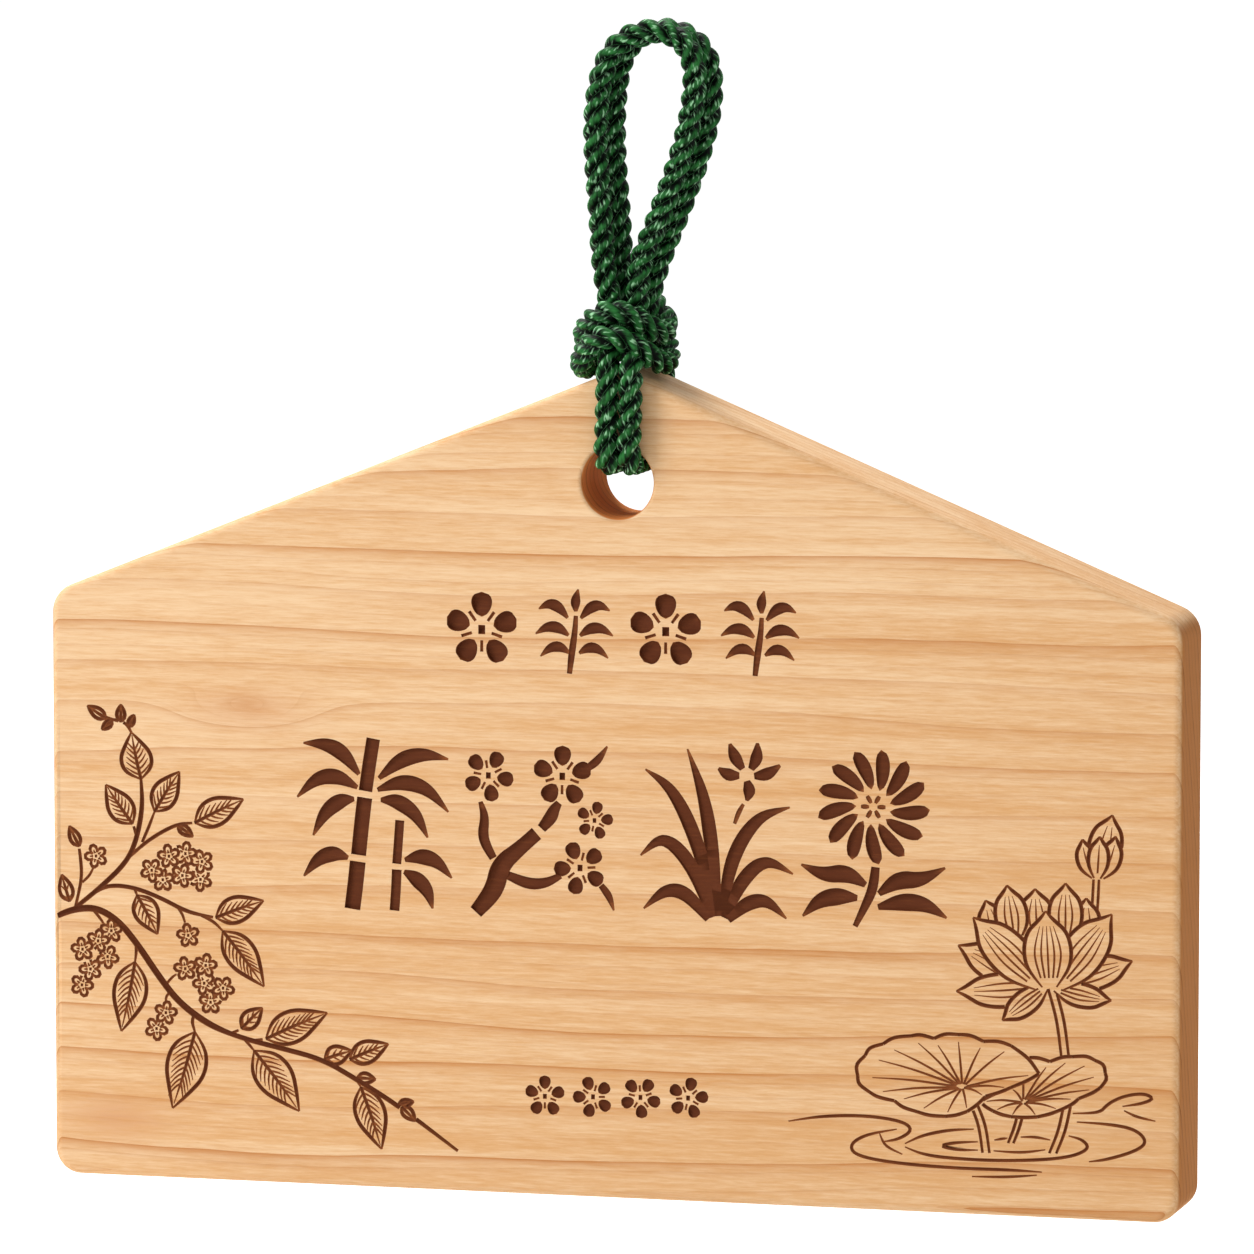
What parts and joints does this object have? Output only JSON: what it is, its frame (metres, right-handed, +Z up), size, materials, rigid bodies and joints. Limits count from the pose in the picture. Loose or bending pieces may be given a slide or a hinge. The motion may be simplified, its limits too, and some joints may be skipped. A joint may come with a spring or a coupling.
{
  "type": "ema plaque",
  "caption": "House-shaped wooden votive plaque with rounded edges and a bored hole, hung by a doubled green cord gathered in a wrapped knot.",
  "frame": {"origin": "inner top of the hanging loop, where it rests on a peg", "axes": "+X along the board's width to the viewer's right, +Y from the front face to the back, +Z up"},
  "size_m": [0.14, 0.0198, 0.1416],
  "materials": {
    "board_wood": "planed pale softwood, matte",
    "cord_green": "laid cotton cord, dark green, soft sheen"
  },
  "bodies": {
    "hang_loop": {"cord_loop_front": "cord_green", "cord_loop_rear": "cord_green"},
    "cord_neck": {"cord_neck_left": "cord_green", "cord_neck_right": "cord_green"},
    "plaque": {"board": "board_wood", "cord_strap_left": "cord_green", "cord_strap_right": "cord_green", "cord_knot": "cord_green"}
  },
  "joints": [
    {"name": "plaque_twist", "type": "hinge", "parent": "hang_loop", "child": "cord_neck", "pos_m": [-0.0033, 0, -0.0256], "axis": [0, 0, 1], "range_deg": [-180, 180], "stiffness_Nm_per_rad": 0.0002},
    {"name": "plaque_swing", "type": "hinge", "parent": "cord_neck", "child": "plaque", "pos_m": [-0.0033, 0, -0.0256], "axis": [1, 0, 0], "range_deg": [-60, 60], "deforming": ["cord_neck_left", "cord_neck_right"]}
  ]
}
